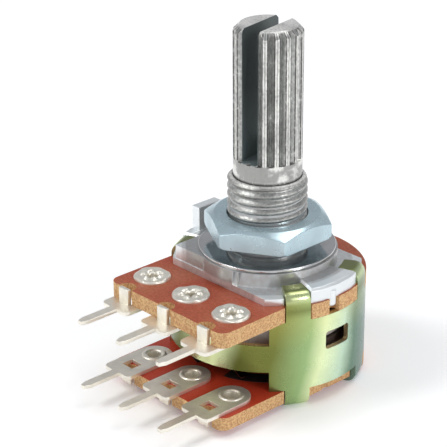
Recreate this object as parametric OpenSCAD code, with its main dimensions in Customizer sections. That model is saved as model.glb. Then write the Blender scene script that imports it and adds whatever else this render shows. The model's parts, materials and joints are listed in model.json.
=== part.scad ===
/* [Shaft] */
// Diameter of the control shaft
shaft_d = 6; // [5:0.1:6.35]
// Length of the shaft in front of the mounting face
shaft_l = 20.2; // [16:0.1:30]
// Plain length left between the bushing and the fluted grip
collar_l = 1.65; // [1:0.05:3]
// Number of flutes round the grip
flute_count = 18; // [12:1:24]
// Depth of one flute
flute_depth = 0.42; // [0.2:0.01:0.5]
// Width of one flute at the surface
flute_w = 0.72; // [0.4:0.01:0.8]
// Width of the slot that splits the grip
slot_w = 1.6; // [0.8:0.1:2]
// Angle that the slot is turned from the line of the terminals
slot_turn = 10.4; // [-45:0.1:45]
// Height of the chamfer round the shaft's end
shaft_chamfer = 0.55; // [0.2:0.05:1]
// Diameter of the rear stem that carries the rotors
stem_d = 4; // [3:0.1:4.6]
// Thickness across the two flats of the stem
stem_flats = 3; // [2.4:0.1:3.8]

/* [Bushing and plate] */
// Outer diameter of the threaded bushing
bushing_d = 7; // [6.8:0.1:8]
// Length of the bushing in front of the mounting face
bushing_l = 6.75; // [5:0.05:8]
// Radial running clearance between shaft and bushing
bore_clearance = 0.03; // [0.02:0.01:0.08]
// Gap between the round seat under the washer and the ends of the tabs
seat_room = 0.64; // [0.5:0.02:0.9]
// Height of the seat above the flange
seat_h = 1.3; // [0.8:0.05:2]
// Thickness of the flange
flange_t = 0.65; // [0.5:0.05:1]
// How far the round edge of the flange stays inside the housing's outside
flange_in = 0.44; // [0.3:0.02:0.8]
// Distance between the two straight sides of the flange
flange_w = 11.9; // [11:0.1:13]
// Height of the cast ears above the flange
ear_h = 0.65; // [0.2:0.05:0.9]
// Diameter of the peened pins under the ears
ear_pin_d = 1; // [0.6:0.1:1.1]
// Length of the peened pins below the flange
pin_l = 0.8; // [0.4:0.05:1.2]
// Distance from the housing's outside to the middle of the locating lug
lug_in = 0.92; // [0.7:0.02:1.2]
// Thickness of the locating lug
lug_t = 0.95; // [0.6:0.05:1]
// Width of the locating lug
lug_w = 2.7; // [2:0.1:4]
// Height of the locating lug above the mounting face
lug_h = 1.55; // [0.8:0.05:3]

/* [Nut and washer] */
// Width of the nut across its flats
nut_af = 10; // [9:0.1:12]
// Thickness of the nut
nut_t = 1.9; // [1.5:0.1:3]
// Diameter of the round face that the nut's chamfer leaves
nut_face_d = 9.3; // [8.6:0.1:9.8]
// Height of the nut's chamfer at its corners
nut_chamfer = 0.6; // [0.3:0.05:0.9]
// Height of the nut above the mounting face
nut_z = 1.3; // [0.5:0.05:3]
// Angle that the nut is turned
nut_turn = -29.3; // [-60:0.1:60]
// How far the washer's edge reaches beyond the nut's corners
washer_out = 0.28; // [0:0.02:0.3]
// Thickness of the washer
washer_t = 0.3; // [0.2:0.05:0.45]
// Radial clearance of the nut and the washer round the bushing
thread_clearance = 0.06; // [0.03:0.01:0.15]

/* [Housing] */
// Outer diameter of the steel housing
shell_d = 17.48; // [17.2:0.01:18]
// Sheet thickness of the housing
sheet_t = 0.5; // [0.3:0.05:0.5]
// Distance between the two wafers
wafer_gap = 6.55; // [6.3:0.05:8]
// Angle on each side of the shaft where the tall part of the wall starts
tall_turn = 43; // [40:0.5:46]
// Height of the low band on the terminal side
band_h = 2.55; // [2:0.05:3]
// Distance from the front wafer to the band
band_drop = 2.15; // [1.8:0.05:2.4]
// Width of the side windows as an angle
window_turn = 18; // [10:1:24]
// Height of the side windows
window_h = 1.65; // [1:0.05:2.5]
// Distance from the front wafer to the top of the windows
window_drop = 1.6; // [1:0.05:2]
// Angle of each tab's middle from the line across the object
tab_turn = 26.5; // [24:0.5:27]
// Width of one tab as an angle
tab_span = 14.5; // [10:0.5:15]
// Length of the folded end of a tab
tab_fold = 1.9; // [1.5:0.05:2]
// Outer radius of the fold of a tab
tab_bend = 0.95; // [0.55:0.05:1]

/* [Wafers] */
// Thickness of the front wafer
front_t = 1.4; // [1:0.05:1.6]
// Thickness of the rear wafer
rear_t = 1.2; // [1:0.05:1.6]
// Width of the straight tail of a wafer
tail_w = 14.4; // [14:0.1:14.6]
// How far the end of the tail stays behind the outer side of the terminals' square holes
tail_back = 0.25; // [0.1:0.05:0.4]
// How far the flat sides of the rear wafer stay inside the housing's outside
flat_in = 0.94; // [0.8:0.02:1.1]
// Width of a notch in the end of the tail
notch_w = 1.6; // [1.2:0.1:1.8]
// Depth of a notch in the end of the tail
notch_l = 1; // [0.8:0.05:1.2]

/* [Terminals] */
// Distance between neighbouring terminals
pitch = 5; // [4.6:0.1:5]
// Distance from the housing's outside to the row of eyelets
eyelet_out = 0.31; // [0.25:0.01:0.5]
// Sheet thickness of a terminal
terminal_t = 0.35; // [0.25:0.05:0.4]
// Width of the wide end of a terminal
terminal_w = 3.3; // [3:0.1:3.5]
// Distance from the eyelet to the shoulder of a terminal
shoulder_step = 4.45; // [4:0.05:5]
// Length of a solder pin beyond the shoulder
tip_step = 3.7; // [2.5:0.1:6]
// Width of a solder pin
pin_w = 0.85; // [0.6:0.05:1.2]
// Width of the square hole in a terminal
square_w = 1.3; // [0.8:0.1:1.6]
// Distance from the eyelet to the square hole
square_step = 2.65; // [2.4:0.05:3]
// Diameter of the eyelet's barrel
barrel_d = 1.9; // [1.4:0.1:2]
// Diameter of the eyelet's flare
flare_d = 3.2; // [2.6:0.1:3.3]
// Thickness of the eyelet's flare
flare_t = 0.2; // [0.1:0.05:0.25]

/* [Inside] */
// Thickness of the front rotor
front_rotor_t = 1.9; // [1.4:0.1:2]
// Thickness of the rear rotor
rear_rotor_t = 2.2; // [1.8:0.1:2.3]
// Gap between a rotor and the wafer that it faces
rotor_gap = 1.1; // [1:0.05:1.2]
// Whole angle that the shaft turns through
travel = 300; // [260:1:310]
// Width of the housing's stop as an angle
stop_turn = 14; // [8:1:20]
// Thickness of the printed tracks
print_t = 0.05; // [0.03:0.01:0.06]
// Depth of the well that a wiper lies in
well_t = 0.3; // [0.2:0.05:0.5]
// Thickness of the wiper springs
wiper_t = 0.15; // [0.1:0.01:0.2]
// Thickness of the retaining ring
ring_t = 0.5; // [0.3:0.05:0.6]

/* [Rings between shaft and housing] */
// Edge of the retaining ring, as a ratio of the way from the shaft to the housing's inside
ring_ratio = 0.21; // [0.18:0.01:0.23]
// Edge of the front wafer's hole, as the same ratio
hole_ratio = 0.286; // [0.27:0.002:0.3]
// Inner edge of the collector ring, as the same ratio
collector_in_ratio = 0.315; // [0.305:0.005:0.33]
// Outer edge of the collector ring, as the same ratio
collector_out_ratio = 0.448; // [0.43:0.002:0.47]
// Inner edge of the resistive track, as the same ratio
track_in_ratio = 0.515; // [0.5:0.005:0.56]
// Outer edge of the resistive track, as the same ratio
track_out_ratio = 0.782; // [0.74:0.002:0.79]
// Edge of the rotors, as the same ratio
rotor_ratio = 0.82; // [0.8:0.01:0.84]

/* [Hidden] */
$fn = 64;

// Two faces that are cut through are passed by this much
over = 0.5;
// Small gap between pieces that slide or are slipped together
play = 0.05;

// Thickness of the shaft's shoulder behind the retaining ring
ring_shoulder = 0.4;
// Length of the stem that reaches into the rear wafer's hole
stem_past = 0.75;
// Angle left free on each side of a tab where it passes the plate and the wafers
tab_free = 0.6;
// Thickness left between an ear's pin and the housing's outside
pin_wall = 0.05;
// Radius of the shaft in the groove that holds the retaining ring
groove_r = stem_d / 2 + 0.4;
// Wall of a rotor's hub round the stem
hub_wall = 1;

// Heights of the stack, counted from the mounting face
flange_top = -seat_h;
plate_back = flange_top - flange_t;
front_back = plate_back - front_t;
rear_face = front_back - wafer_gap;
rear_back = rear_face - rear_t;
band_top = front_back - band_drop;
band_low = band_top - band_h;
front_rotor_z = front_back - rotor_gap;
rear_rotor_z = rear_face + rotor_gap;
tab_front_top = flange_top + play + sheet_t;
tab_rear_low = rear_back - play - sheet_t;
flute_z = bushing_l + collar_l;
ring_z = plate_back - play - ring_t;
stem_z = ring_z - ring_shoulder;
stem_end = rear_face - stem_past;

shell_r = shell_d / 2;
shell_in = shell_r - sheet_t;
nut_r = nut_af / 2 / cos(30);
washer_r = nut_r + washer_out;
// Places of the terminals, counted from the shaft axis
eyelet_y = shell_r + eyelet_out;
hole_end = eyelet_y + square_step + square_w / 2;
tail_l = hole_end - tail_back;
shoulder_y = eyelet_y + shoulder_step;
tip_y = shoulder_y + tip_step;
// Place of an ear's pin: in from the housing's outside, and off the middle of the ear
pin_in = pin_wall + ear_pin_d / 2;
pin_y = -0.5;
// The rotor's own stop lug fills what the travel and the housing's stop leave, less two degrees
lug_turn = 360 - travel - stop_turn - 2;

silver = [0.72, 0.73, 0.74];
zinc = [0.66, 0.65, 0.63];
plated = [0.62, 0.72, 0.75];
chromate = [0.66, 0.74, 0.45];
phenolic = [0.68, 0.3, 0.2];
tin = [0.8, 0.8, 0.77];
carbon = [0.25, 0.21, 0.2];
grey_plastic = [0.55, 0.53, 0.5];
black_plastic = [0.1, 0.1, 0.1];
bronze = [0.75, 0.6, 0.35];

// Radius at a ratio of the way from the shaft to the housing's inside
function between(ratio) = shaft_d / 2 + ratio * (shell_in - shaft_d / 2);

// Flat wedge with its point on the axis, from one angle to another, less than half a turn
module wedge(from, to, r) {
    polygon([[0, 0], for (i = [0:4]) r * [cos(from + (to - from) * i / 4), sin(from + (to - from) * i / 4)]]);
}

// Flat part of a ring between two angles
module arc_band(r_in, r_out, from, to) {
    intersection() {
        difference() {
            circle(r = r_out);
            circle(r = r_in);
        }
        union() {
            wedge(from, (from + to) / 2, 2 * r_out);
            wedge((from + to) / 2, to, 2 * r_out);
        }
    }
}

// Rectangle with round corners, centred, as an outline with a few points at each corner
module round_rect(w, h, r) {
    polygon([for (q = [0:3], i = [0:3])
        let (sx = (q == 0 || q == 3) ? 1 : -1, sy = q < 2 ? 1 : -1, a = 90 * q + 30 * i)
            [sx * (w / 2 - r) + r * cos(a), sy * (h / 2 - r) + r * sin(a)]]);
}

// Round section with two flats, for the stem and what is pushed on it
module stem_section(gap = 0) {
    intersection() {
        circle(d = stem_d + 2 * gap);
        square([stem_flats + 2 * gap, 2 * stem_d], center = true);
    }
}

// The four places where the housing's tabs stand, as angles
function tab_angles() = [-tab_turn, tab_turn, 180 - tab_turn, 180 + tab_turn];

// Flat cut that lets the four tabs pass, from a radius outwards
module tab_gaps(from_r) {
    half = tab_span / 2 + tab_free;
    for (a = tab_angles()) arc_band(from_r - play, 2 * shell_r, a - half, a + half);
}

// Outline of the flange: a disc with two straight sides
module flange_outline() {
    difference() {
        intersection() {
            circle(r = shell_r - flange_in);
            square([2 * shell_d, flange_w], center = true);
        }
        tab_gaps(shell_r - tab_bend);
    }
}

// Flat outline of a cast ear, which fills the room between two tabs, drawn in by an inset
module ear_outline(inset) {
    ear_back = 0.14;
    ear_start = 3.5;
    side = tab_turn - tab_span / 2 - tab_free;
    intersection() {
        circle(r = shell_r - ear_back - inset, $fn = 32);
        translate([inset / sin(side), 0]) wedge(-side, side, 2 * shell_r);
        translate([ear_start, -shell_r]) square(2 * shell_r);
    }
}

// One cast ear with its upper edge bevelled
module ear() {
    bevel = 0.2;
    translate([0, 0, plate_back]) hull() {
        linear_extrude(flange_t + ear_h - bevel) ear_outline(0);
        linear_extrude(flange_t + ear_h) ear_outline(bevel);
    }
}

// Peened pin that locks an ear in the front wafer's edge notch
module ear_pin() {
    tip = 0.15;
    translate([shell_r - pin_in, pin_y, plate_back - pin_l]) {
        translate([0, 0, tip]) cylinder(d = ear_pin_d, h = pin_l - tip + flange_t, $fn = 32);
        cylinder(d1 = ear_pin_d - 2 * tip, d2 = ear_pin_d, h = tip, $fn = 32);
    }
}

module bushing_plate() {
    block_left = -5.5;
    block_right = 2.4;
    block_in = 0.08;
    mouth = 0.45;
    color(zinc) difference() {
        union() {
            // Threaded bushing with a chamfered mouth
            rotate_extrude() polygon([[0, plate_back], [bushing_d / 2, plate_back],
                [bushing_d / 2, bushing_l - mouth], [bushing_d / 2 - mouth * 0.7, bushing_l], [0, bushing_l]]);
            // Round seat under the washer
            translate([0, 0, flange_top - flange_t / 2])
                cylinder(r = shell_r - tab_fold - seat_room, h = seat_h + flange_t / 2);
            // Rough block between the seat and the straight side
            translate([block_left, block_in - flange_w / 2, flange_top - flange_t / 2])
                cube([block_right - block_left, flange_w / 2, seat_h + flange_t / 2 - block_in / 4]);
            translate([0, 0, plate_back]) linear_extrude(flange_t) flange_outline();
            ear();
            mirror([1, 0, 0]) ear();
            ear_pin();
            mirror([1, 0, 0]) ear_pin();
            // Locating lug on the left ear
            translate([lug_in - shell_r - lug_t / 2, -lug_w / 2, plate_back])
                cube([lug_t, lug_w, lug_h - plate_back]);
        }
        translate([0, 0, plate_back - over])
            cylinder(r = shaft_d / 2 + bore_clearance, h = bushing_l - plate_back + 2 * over);
    }
}

module hex_nut() {
    rim = 0.2;
    color(plated) translate([0, 0, nut_z]) difference() {
        intersection() {
            rotate(nut_turn) cylinder(r = nut_r, h = nut_t, $fn = 6);
            rotate_extrude() polygon([[0, 0], [nut_r - rim, 0], [nut_r, rim],
                [nut_r, nut_t - nut_chamfer], [nut_face_d / 2, nut_t], [0, nut_t]]);
        }
        translate([0, 0, -over]) cylinder(r = bushing_d / 2 + thread_clearance, h = nut_t + 2 * over);
    }
}

module flat_washer() {
    color(silver) difference() {
        cylinder(r = washer_r, h = washer_t);
        translate([0, 0, -over]) cylinder(r = bushing_d / 2 + thread_clearance, h = washer_t + 2 * over);
    }
}

// Quarter ring that bends the sheet inwards at one end of the wall
module bend_section() {
    intersection() {
        difference() {
            circle(r = tab_bend, $fn = 48);
            circle(r = tab_bend - sheet_t, $fn = 48);
        }
        square(tab_bend);
    }
}

// Section of the wall with both ends folded towards the axis
module wall_section() {
    leg_low = tab_rear_low + tab_bend;
    leg_high = tab_front_top - tab_bend;
    translate([shell_in, leg_low]) square([sheet_t, leg_high - leg_low]);
    translate([shell_r - tab_bend, leg_high]) bend_section();
    translate([shell_r - tab_bend, leg_low]) mirror([0, 1]) bend_section();
    for (z = [tab_front_top - sheet_t, tab_rear_low])
        translate([shell_r - tab_fold, z]) square([tab_fold - tab_bend, sheet_t]);
}

// What is cut away beyond a rim, so that only the four tabs are left
module between_tabs() {
    difference() {
        circle(r = 2 * shell_r);
        for (a = tab_angles()) wedge(a - tab_span / 2, a + tab_span / 2, 3 * shell_r);
    }
}

module housing_shell() {
    stop_reach = 0.95;
    color(chromate) {
        difference() {
            rotate_extrude() wall_section();
            translate([0, 0, front_back]) linear_extrude(wafer_gap) between_tabs();
            translate([0, 0, rear_face - wafer_gap]) linear_extrude(wafer_gap) between_tabs();
            // The wall is low where the terminals leave
            for (z = [band_top, band_low - wafer_gap])
                translate([0, 0, z]) linear_extrude(wafer_gap) wedge(tall_turn - 180, -tall_turn, 3 * shell_r);
            // Side windows
            for (side = [0, 180])
                rotate(side) translate([0, 0, front_back - window_drop - window_h / 2])
                    rotate([90, 0, 90]) linear_extrude(2 * shell_r)
                        round_rect(2 * shell_r * sin(window_turn / 2), window_h, 0.25);
        }
        // Tongue bent inwards from the band, which stops the rear rotor
        translate([0, 0, band_low]) linear_extrude(sheet_t)
            arc_band(shell_in - stop_reach, shell_in + sheet_t / 2, -90 - stop_turn / 2, -90 + stop_turn / 2);
    }
}

// Outline of a wafer: a disc with a straight tail, notched at its end, that lets the tabs pass from tab_r on
module wafer_outline(side_flat, tab_r) {
    corner = 0.9;
    tail_root = sqrt(shell_r * shell_r - tail_w * tail_w / 4) - play;
    difference() {
        union() {
            intersection() {
                circle(r = shell_r);
                translate([-side_flat, -shell_r]) square([2 * side_flat, 2 * shell_r]);
            }
            translate([-tail_w / 2, -tail_l + corner]) square([tail_w, tail_l - corner - tail_root]);
            translate([-tail_w / 2 + corner, -tail_l]) square([tail_w - 2 * corner, corner + over]);
            for (x = [-1, 1])
                translate([x * (tail_w / 2 - corner), -tail_l + corner]) circle(r = corner, $fn = 32);
        }
        tab_gaps(tab_r);
        for (x = [-pitch, 0, pitch]) translate([x, -tail_l]) {
            translate([-notch_w / 2, -over]) square([notch_w, notch_l + over - notch_w / 2]);
            translate([0, notch_l - notch_w / 2]) circle(d = notch_w, $fn = 32);
        }
        // Holes for the eyelets
        for (x = [-pitch, 0, pitch])
            translate([x, -eyelet_y]) circle(d = barrel_d + 2 * play, $fn = 32);
    }
}

// Slots in a wafer's edge for the ears' pins, open at the rim
module pin_slots() {
    slot_d = ear_pin_d + 2 * play;
    for (side = [0, 1]) mirror([side, 0]) translate([shell_r - pin_in, pin_y]) {
        circle(d = slot_d, $fn = 32);
        translate([0, -slot_d / 2]) square([slot_d, slot_d]);
    }
}

module front_wafer() {
    color(phenolic) translate([0, 0, front_back]) linear_extrude(front_t) difference() {
        wafer_outline(shell_r, shell_in);
        circle(r = between(hole_ratio));
        pin_slots();
    }
}

module rear_wafer() {
    color(phenolic) translate([0, 0, rear_back]) linear_extrude(rear_t) difference() {
        wafer_outline(shell_r - flat_in, shell_r - tab_bend);
        circle(d = stem_d + 8 * play);
        pin_slots();
    }
}

// One terminal, lying face up with its eyelet going down through a wafer of the given thickness
module terminal(wafer_t) {
    half = terminal_w / 2;
    corner = 0.5;
    taper = 0.6;
    linear_extrude(terminal_t) difference() {
        union() {
            translate([0, -eyelet_y]) circle(r = half);
            translate([-half, -shoulder_y + corner]) square([terminal_w, shoulder_y - corner - eyelet_y]);
            translate([-half + corner, -shoulder_y]) square([terminal_w - 2 * corner, corner + over]);
            for (x = [-1, 1])
                translate([x * (half - corner), -shoulder_y + corner]) circle(r = corner, $fn = 32);
            // Solder pin with a narrowed tip
            polygon([[-pin_w / 2, over - shoulder_y], [-pin_w / 2, taper - tip_y], [-pin_w / 4, -tip_y],
                [pin_w / 4, -tip_y], [pin_w / 2, taper - tip_y], [pin_w / 2, over - shoulder_y]]);
        }
        translate([0, -eyelet_y]) circle(d = barrel_d - 2 * terminal_t, $fn = 32);
        translate([0, -eyelet_y - square_step]) square(square_w, center = true);
    }
    // Barrel through the wafer and its flare on the other side
    translate([0, -eyelet_y, 0]) rotate_extrude($fn = 32) polygon([[barrel_d / 2 - terminal_t, 0],
        [barrel_d / 2, 0], [barrel_d / 2, -wafer_t], [flare_d / 2, -wafer_t],
        [flare_d / 2 - flare_t, -wafer_t - flare_t], [barrel_d / 2 - terminal_t, -wafer_t - flare_t]]);
    // Tongue out of the square hole, bent into the notch in the wafer's end
    translate([play - square_w / 2, -hole_end, 0]) rotate([90, 0, 90]) linear_extrude(square_w - 2 * play)
        polygon([[-terminal_t, 0], [-terminal_t, terminal_t], [terminal_t / 2, terminal_t],
            [terminal_t, terminal_t / 2], [terminal_t, -wafer_t], [0, -wafer_t], [0, 0]]);
}

module front_terminal(x) {
    color(tin) translate([x, 0, front_back]) rotate([0, 180, 0]) terminal(front_t);
}

module rear_terminal(x) {
    color(tin) translate([x, 0, rear_face]) terminal(rear_t);
}

module front_terminal_left() { front_terminal(-pitch); }
module front_terminal_centre() { front_terminal(0); }
module front_terminal_right() { front_terminal(pitch); }
module rear_terminal_left() { rear_terminal(-pitch); }
module rear_terminal_centre() { rear_terminal(0); }
module rear_terminal_right() { rear_terminal(pitch); }

// Horseshoe of resistive ink, open towards the terminals
module track() {
    gap_turn = 14;
    linear_extrude(print_t) difference() {
        circle(r = between(track_out_ratio));
        circle(r = between(track_in_ratio));
        wedge(-90 - gap_turn, -90 + gap_turn, 2 * shell_r);
    }
}

// Ring that the wiper's inner feet run on
module collector() {
    linear_extrude(print_t) difference() {
        circle(r = between(collector_out_ratio));
        circle(r = between(collector_in_ratio));
    }
}

module front_track() { color(carbon) translate([0, 0, front_back - print_t]) track(); }
module rear_track() { color(carbon) translate([0, 0, rear_face]) track(); }
module front_collector() { color(silver) translate([0, 0, front_back - print_t]) collector(); }
module rear_collector() { color(silver) translate([0, 0, rear_face]) collector(); }

module shaft() {
    r = shaft_d / 2;
    groove = ring_t + play;
    slot_past = 0.1;
    color(silver) difference() {
        union() {
            rotate_extrude() polygon([[0, stem_z], [r, stem_z], [r, ring_z - play / 2],
                [groove_r, ring_z - play / 2], [groove_r, ring_z + groove],
                [r, ring_z + groove], [r, shaft_l - shaft_chamfer],
                [r - shaft_chamfer, shaft_l], [0, shaft_l]]);
            rotate(slot_turn) translate([0, 0, stem_end]) linear_extrude(stem_z - stem_end + over) stem_section();
        }
        // Flutes of the grip
        for (i = [0:flute_count - 1])
            rotate(i * 360 / flute_count + slot_turn - 90) translate([r - flute_depth, 0, flute_z])
                linear_extrude(shaft_l - flute_z + over)
                    polygon([[0, 0], [2 * flute_depth, -flute_w], [2 * flute_depth, flute_w]]);
        // Slot that splits the grip
        rotate(slot_turn - 90) translate([-shaft_d, -slot_w / 2, flute_z + slot_past])
            cube([2 * shaft_d, slot_w, shaft_l]);
    }
}

module retaining_ring() {
    ring_mouth = 64;
    color(silver) translate([0, 0, ring_z]) linear_extrude(ring_t) difference() {
        circle(r = between(ring_ratio));
        circle(r = groove_r + play);
        wedge(ring_mouth / 2, 3 * ring_mouth / 2, 2 * shell_r);
    }
}

// Moulded disc on the stem, with a shallow well on the side of its wiper
module rotor(t) {
    rim = 0.5;
    difference() {
        linear_extrude(t) difference() {
            circle(r = between(rotor_ratio));
            stem_section(play / 2);
        }
        translate([0, 0, t - well_t]) linear_extrude(well_t + over) difference() {
            circle(r = between(rotor_ratio) - rim);
            circle(r = stem_d / 2 + hub_wall);
        }
    }
}

module front_rotor() {
    color(grey_plastic) rotate(slot_turn) translate([0, 0, front_rotor_z - front_rotor_t]) rotor(front_rotor_t);
}

module rear_rotor() {
    stop_gap = 0.3;
    lug_root = 0.4;
    color(black_plastic) rotate(slot_turn) {
        translate([0, 0, rear_rotor_z + rear_rotor_t]) mirror([0, 0, 1]) rotor(rear_rotor_t);
        // Lug that meets the housing's tongue at both ends of the travel
        translate([0, 0, rear_rotor_z]) linear_extrude(rear_rotor_t)
            arc_band(between(rotor_ratio) - lug_root, shell_in - stop_gap, 90 - lug_turn / 2, 90 + lug_turn / 2);
    }
}

// Spring wiper lying in a rotor's well, with two feet on the track and two on the collector
module wiper() {
    lift = rotor_gap + well_t - print_t - play;
    track_y = between((track_in_ratio + track_out_ratio) / 2);
    collector_y = between((collector_in_ratio + collector_out_ratio) / 2);
    hub_gap_r = stem_d / 2 + hub_wall + play;
    bridge_w = 1;
    ring_w = 1.1;
    foot_w = 0.6;
    linear_extrude(wiper_t) difference() {
        union() {
            circle(r = hub_gap_r + ring_w);
            square([bridge_w, 2 * track_y + foot_w], center = true);
        }
        circle(r = hub_gap_r);
    }
    for (side = [-1, 1]) {
        translate([0, side * track_y, 0]) wiper_foot(foot_w, lift);
        translate([0, side * collector_y, 0]) mirror([1, 0, 0]) wiper_foot(foot_w / 2, lift);
    }
}

// One foot of the wiper: a leaf that rises from the bridge to a rounded contact
module wiper_foot(w, lift) {
    root = 0.2;
    bend = 0.6;
    reach = 1.8;
    crown = 0.3;
    drop = 0.12;
    top = lift - wiper_t;
    rotate([90, 0, 0]) translate([0, 0, -w / 2]) linear_extrude(w)
        polygon([[root, 0], [bend, 0], [reach, top - drop], [reach + crown, top],
            [reach + 2 * crown, top - 2 * drop], [reach + 2 * crown, lift - 2 * drop], [reach + crown, lift],
            [reach, lift - drop], [bend, wiper_t], [root, wiper_t]]);
}

module front_wiper() {
    color(bronze) rotate(slot_turn) translate([0, 0, front_rotor_z - well_t]) wiper();
}

module rear_wiper() {
    color(bronze) rotate(slot_turn) translate([0, 0, rear_rotor_z + well_t]) mirror([0, 0, 1]) wiper();
}

bushing_plate();
hex_nut();
flat_washer();
housing_shell();
front_wafer();
rear_wafer();
front_terminal_left();
front_terminal_centre();
front_terminal_right();
rear_terminal_left();
rear_terminal_centre();
rear_terminal_right();
front_track();
rear_track();
front_collector();
rear_collector();
shaft();
retaining_ring();
front_rotor();
rear_rotor();
front_wiper();
rear_wiper();
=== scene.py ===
"""Looks of a two-gang rotary potentiometer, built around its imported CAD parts."""

import json
import math

import bmesh
import bpy
from bpy.props import FloatProperty, FloatVectorProperty, IntProperty, PointerProperty
from bpy.types import Operator, Panel, PropertyGroup
from mathutils import Matrix, Vector

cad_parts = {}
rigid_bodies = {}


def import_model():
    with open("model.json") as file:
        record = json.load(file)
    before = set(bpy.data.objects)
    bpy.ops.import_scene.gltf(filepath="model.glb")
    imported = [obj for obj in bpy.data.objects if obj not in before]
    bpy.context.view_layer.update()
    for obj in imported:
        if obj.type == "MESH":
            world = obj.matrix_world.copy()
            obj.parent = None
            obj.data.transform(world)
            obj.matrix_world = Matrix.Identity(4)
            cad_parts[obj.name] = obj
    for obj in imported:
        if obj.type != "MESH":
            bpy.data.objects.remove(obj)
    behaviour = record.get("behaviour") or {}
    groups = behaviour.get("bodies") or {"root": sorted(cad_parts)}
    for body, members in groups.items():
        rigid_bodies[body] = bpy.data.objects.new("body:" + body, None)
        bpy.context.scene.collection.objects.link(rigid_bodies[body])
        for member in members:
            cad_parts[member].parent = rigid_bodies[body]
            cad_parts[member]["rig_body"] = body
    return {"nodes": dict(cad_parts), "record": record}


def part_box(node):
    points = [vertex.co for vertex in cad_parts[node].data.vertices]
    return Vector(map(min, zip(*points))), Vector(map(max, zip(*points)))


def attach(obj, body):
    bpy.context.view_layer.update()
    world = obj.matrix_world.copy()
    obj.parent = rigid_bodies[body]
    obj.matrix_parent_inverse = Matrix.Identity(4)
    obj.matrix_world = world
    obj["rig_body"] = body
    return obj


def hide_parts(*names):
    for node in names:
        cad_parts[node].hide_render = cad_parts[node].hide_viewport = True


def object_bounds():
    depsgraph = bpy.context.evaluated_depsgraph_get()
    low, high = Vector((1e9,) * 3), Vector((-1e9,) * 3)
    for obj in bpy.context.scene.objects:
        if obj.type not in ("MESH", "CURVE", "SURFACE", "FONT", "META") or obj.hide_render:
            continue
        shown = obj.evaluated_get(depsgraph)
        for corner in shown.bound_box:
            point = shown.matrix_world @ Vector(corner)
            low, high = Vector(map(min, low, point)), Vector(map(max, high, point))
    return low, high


bl_info = {
    "name": "Rotary Potentiometer",
    "version": (1, 0, 0),
    "blender": (4, 5, 0),
    "location": "View3D > Sidebar > Potentiometer",
    "description": "Builds the visible pieces of a two-gang rotary potentiometer",
    "category": "Object",
}

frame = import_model()
cad_low, cad_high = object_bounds()

MM = 0.001
SIDES = ("left", "centre", "right")

# Number of flutes, and the turn of the slot about the shaft's axis
FLUTES = 18
SLOT_TURN = math.radians(10.4)
# Centre and reach of the painted shade line and the painted highlight line beside a flute, as shares of
# the step between flutes
SHADE_LINE = (0.29, 0.06)
HIGHLIGHT_LINE = (0.39, 0.07)
# Places on the CAD part that its finishes follow, in millimetres. Heights count from the mounting
# face, and radii from the shaft's axis. A pair says where a mask is empty and where it is full.
FLUTE_START = 8.45
FLUTE_ROOT_R = 2.56
# Radii over which the painted shade in the flutes fades to the crests' colour
GRIP_R = (2.6, 2.99)
SHAFT_TOP = 20.2
SLOT_HALF_WIDTH = 0.83
SLOT_PALE = (15.0, 9.0)
# Heights where the painted reflections on the collar start and end
COLLAR_FOOT = (6.9, 7.1)
COLLAR_END = (8.5, 8.4)
# Height and reach of a ring of painted shade where the shaft comes out of the bushing
SHADE_RING_HEIGHT = 6.8
SHADE_RING_REACH = 0.35
# Radii over which the painted shade in the thread's grooves fades to the crests' colour
THREAD_R = (3.2, 3.46)
# Depths under the top of a turned end where its chamfer and its flat face start and are full
CHAMFER = (0.7, 0.2)
END_FACE = (0.15, 0.05)
BUSHING_R = 3.5
BUSHING_TOP = 6.75
# Height and radius of the painted shade on the wall of the seat
SEAT_SHADE_HEIGHT = (-1.25, -1.1)
SEAT_SHADE_R = (7.25, 7.1)
# Radii where the painted highlights on the ears' tops and outer faces start and are full
EAR_TOP_HIGHLIGHT_R = (7.4, 7.6)
EAR_FACE_HIGHLIGHT_R = (8.3, 8.45)
# Where the painted highlight on the sheet's inner face and cut edges lies
SHEET_INSIDE_R = (8.72, 8.66)
SHEET_CUT_TOP = (-1.8, -1.9)
SHEET_CUT_FOOT = (-10.0, -9.9)
UPPER_WALL = (-6.0, -3.6)
# Heights where the painted highlight on the tabs' bends starts and is full
TAB_BEND_HIGHLIGHT = (-1.8, -1.3)
TAB_TOP = (-0.95, -0.8)
# Height and reach of the painted shade on the tabs' legs under their bends
UNDER_BEND_HEIGHT = -2.4
UNDER_BEND_REACH = 0.7
REAR_BOARD = (-6.0, -7.0)

# The chromate's tints round the housing lean by this share of a turn for each metre of height.
# At this height in millimetres they stand where the finish lists them.
TINT_LEAN = -3.0
TINT_HEIGHT = -10.2

# The floor's glow grows from the first to the second distance, in millimetres
FLOOR_FAR = (90, 500)
FLOOR_GLOW = 0.14
FLOOR_GLOW_FAR = 0.6
ROOM_TONE = (0.93, 0.95, 1.0)
ROOM_STRENGTH = 0.42
# How steeply a ray rises where the room's white wall ends, and where it is at its full white
WALL_RISE = (0.2, 0.1)
# Name, place in metres, size in metres and power in watts of each lamp
LAMPS = (
    ("key_lamp", (-0.16, -0.24, 0.30), 0.14, 0.62),
    ("side_lamp", (0.36, 0.02, 0.16), 0.12, 0.42),
    ("top_lamp", (0.04, 0.16, 0.42), 0.22, 0.52),
)
LAMP_AIM = Vector((0, 0, 0.003))
CAMERA_PLACE = Vector((0.098124, -0.096172, 0.063054))
CAMERA_BACK = Vector((0.67016, -0.62122, 0.40616))
CAMERA_ROLL = math.radians(-0.324)
CAMERA_LENS = 138.6


def linear(red, green, blue):
    """A display colour of 0 to 255 as the linear colour that a shader takes."""
    parts = [c / 255 for c in (red, green, blue)]
    return tuple(c / 12.92 if c < 0.04045 else ((c + 0.055) / 1.055) ** 2.4 for c in parts)


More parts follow.
